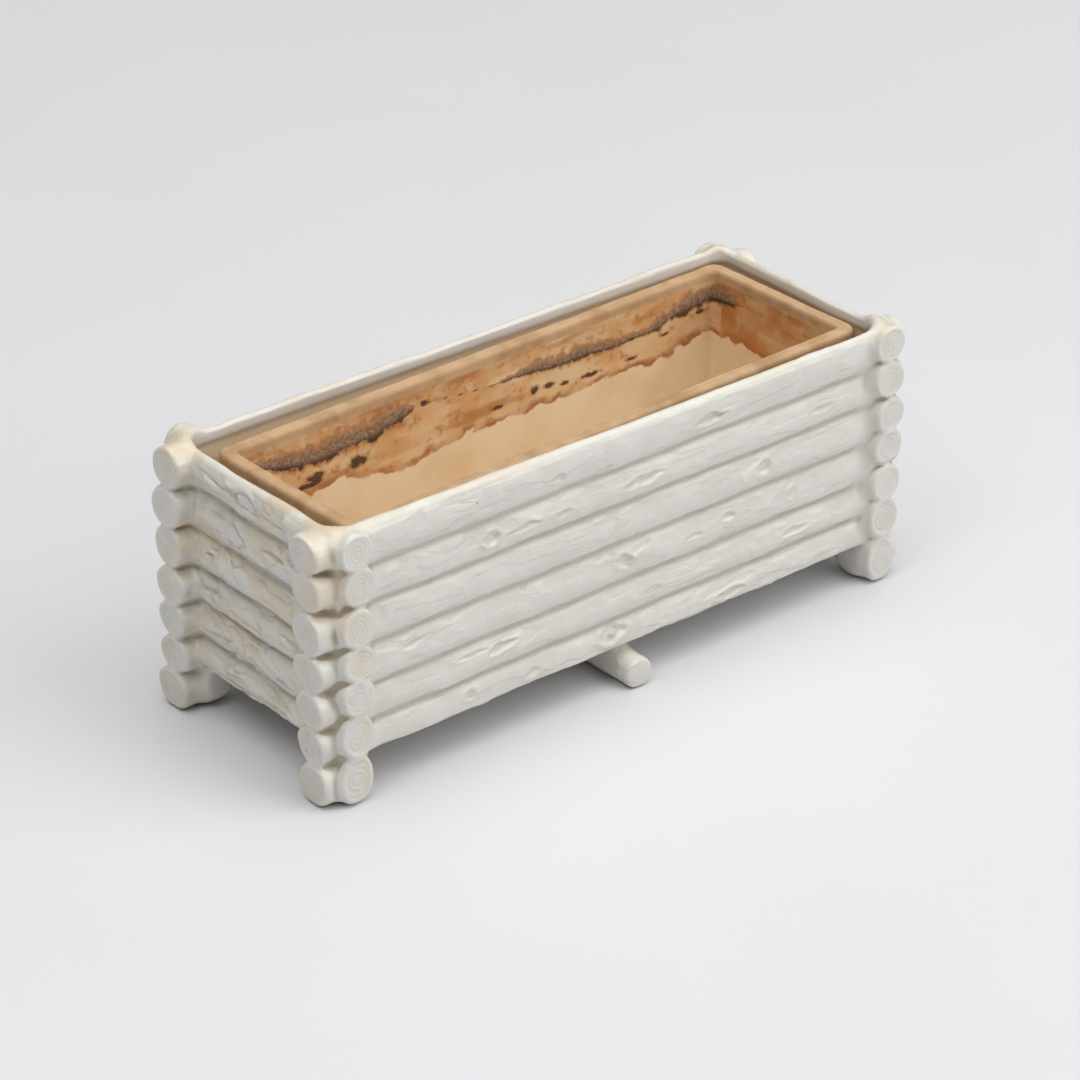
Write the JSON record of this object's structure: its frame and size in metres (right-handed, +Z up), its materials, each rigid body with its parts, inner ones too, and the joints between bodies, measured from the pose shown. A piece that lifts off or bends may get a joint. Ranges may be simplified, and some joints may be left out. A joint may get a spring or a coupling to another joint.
{
  "type": "rustic log trough jardiniere with liner",
  "caption": "Long glazed earthenware planter moulded as stacked logs, with crossed log-end corners, feet, a cross log underneath and a loose terracotta liner.",
  "frame": {"origin": "on the ground under the middle of the trough", "axes": "+X along the trough to its right end, +Y to its back, +Z up"},
  "size_m": [0.4274, 0.1694, 0.1674],
  "materials": {
    "white_glaze": "glossy tin-white glaze over buff earthenware, stained in the creases",
    "terracotta": "unglazed, matt, water-stained"
  },
  "bodies": {
    "glazed_body": {"front_wall": "white_glaze", "back_wall": "white_glaze", "left_wall": "white_glaze", "right_wall": "white_glaze", "front_left_corner_post": "white_glaze", "front_right_corner_post": "white_glaze", "back_left_corner_post": "white_glaze", "back_right_corner_post": "white_glaze", "front_left_foot": "white_glaze", "front_right_foot": "white_glaze", "back_left_foot": "white_glaze", "back_right_foot": "white_glaze", "floor_slab": "white_glaze", "cross_log": "white_glaze"},
    "liner": {"liner": "terracotta"}
  },
  "joints": [
    {"name": "liner_lift", "type": "slide", "parent": "glazed_body", "child": "liner", "axis": [0, 0, 1], "range_m": [0, 0.145]}
  ]
}
